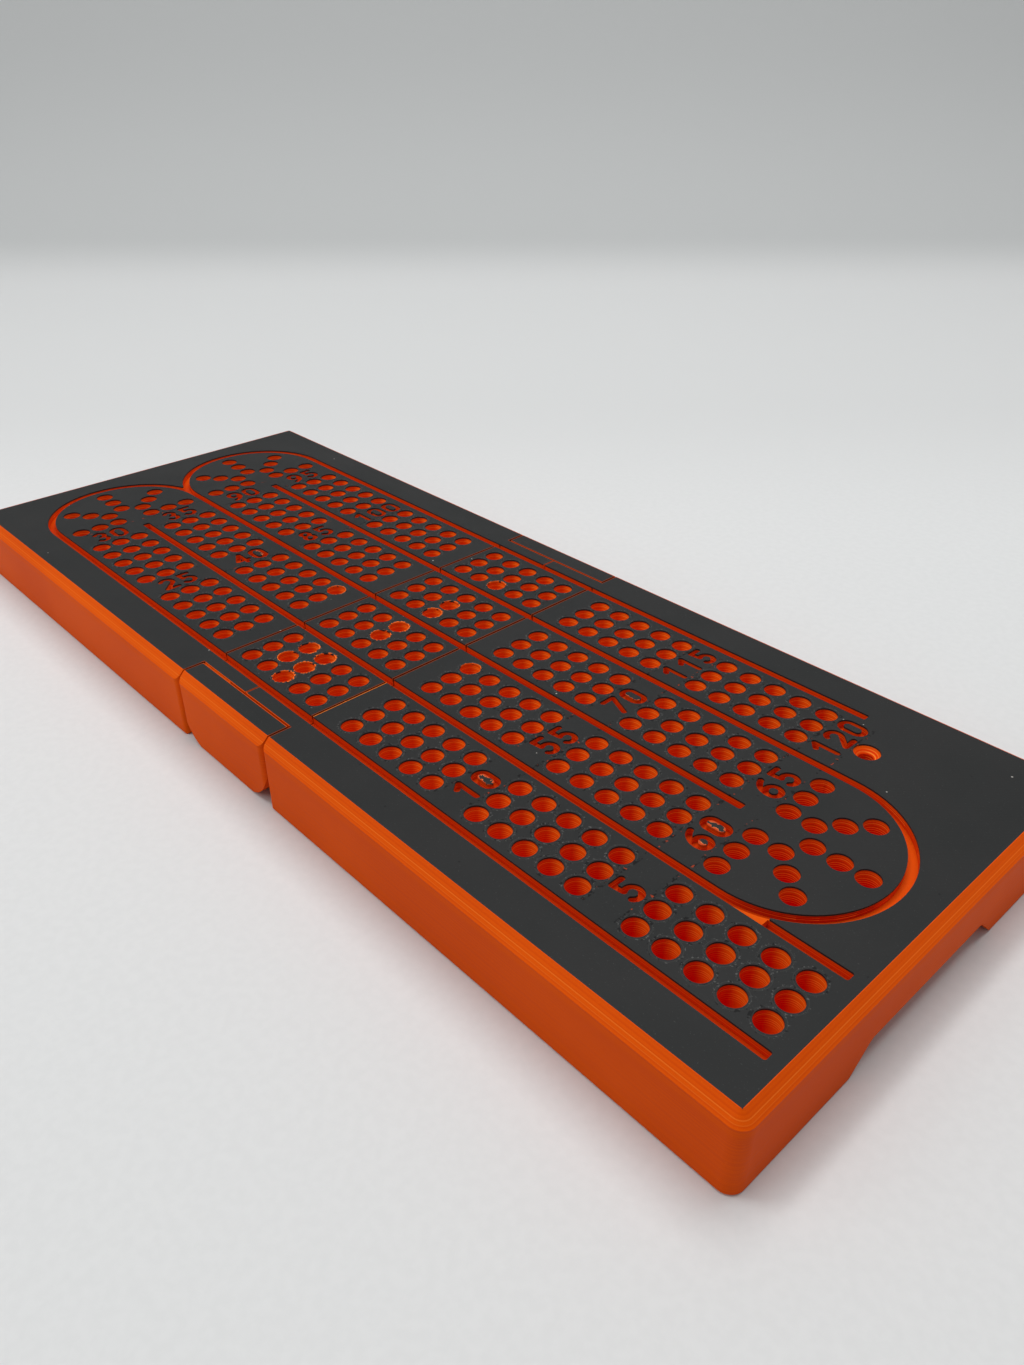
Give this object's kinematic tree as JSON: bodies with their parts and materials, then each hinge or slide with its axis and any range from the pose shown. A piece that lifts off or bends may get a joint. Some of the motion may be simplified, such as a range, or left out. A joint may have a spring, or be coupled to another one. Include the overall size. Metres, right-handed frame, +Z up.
{
  "type": "folding cribbage board",
  "caption": "Long flat score board for pegs: lanes of small holes wind back and forth between grooves, and both halves fold down about a hinge block in the middle.",
  "frame": {"origin": "middle of the board's footprint, on the table under the hinge block", "axes": "+X along the board towards the end where scoring starts and finishes, +Y across it from lane one to lane four, +Z up out of the playing face"},
  "size_m": [0.2984, 0.1176, 0.0185],
  "materials": {
    "body_print": "matte orange print with fine layer lines",
    "top_print": "matte black print",
    "pin_steel": "ground",
    "magnet_plating": "bright nickel plate"
  },
  "bodies": {
    "spine": {"centre_block": "body_print", "near_link": "body_print", "far_link": "body_print", "block_top_layer": "top_print", "near_link_top_layer": "top_print", "far_link_top_layer": "top_print", "near_left_pin": "pin_steel", "near_right_pin": "pin_steel", "far_left_pin": "pin_steel", "far_right_pin": "pin_steel"},
    "left_wing": {"left_half": "body_print", "left_top_layer": "top_print", "near_left_magnet": "magnet_plating", "far_left_magnet": "magnet_plating"},
    "right_wing": {"right_half": "body_print", "right_top_layer": "top_print", "near_right_magnet": "magnet_plating", "far_right_magnet": "magnet_plating"}
  },
  "joints": [
    {"name": "left_fold", "type": "hinge", "parent": "spine", "child": "left_wing", "pos_m": [-0.0094, 0, 0.00925], "axis": [0, -1, 0], "range_deg": [0, 90]},
    {"name": "right_fold", "type": "hinge", "parent": "spine", "child": "right_wing", "pos_m": [0.0094, 0, 0.00925], "axis": [0, 1, 0], "range_deg": [0, 90]}
  ]
}
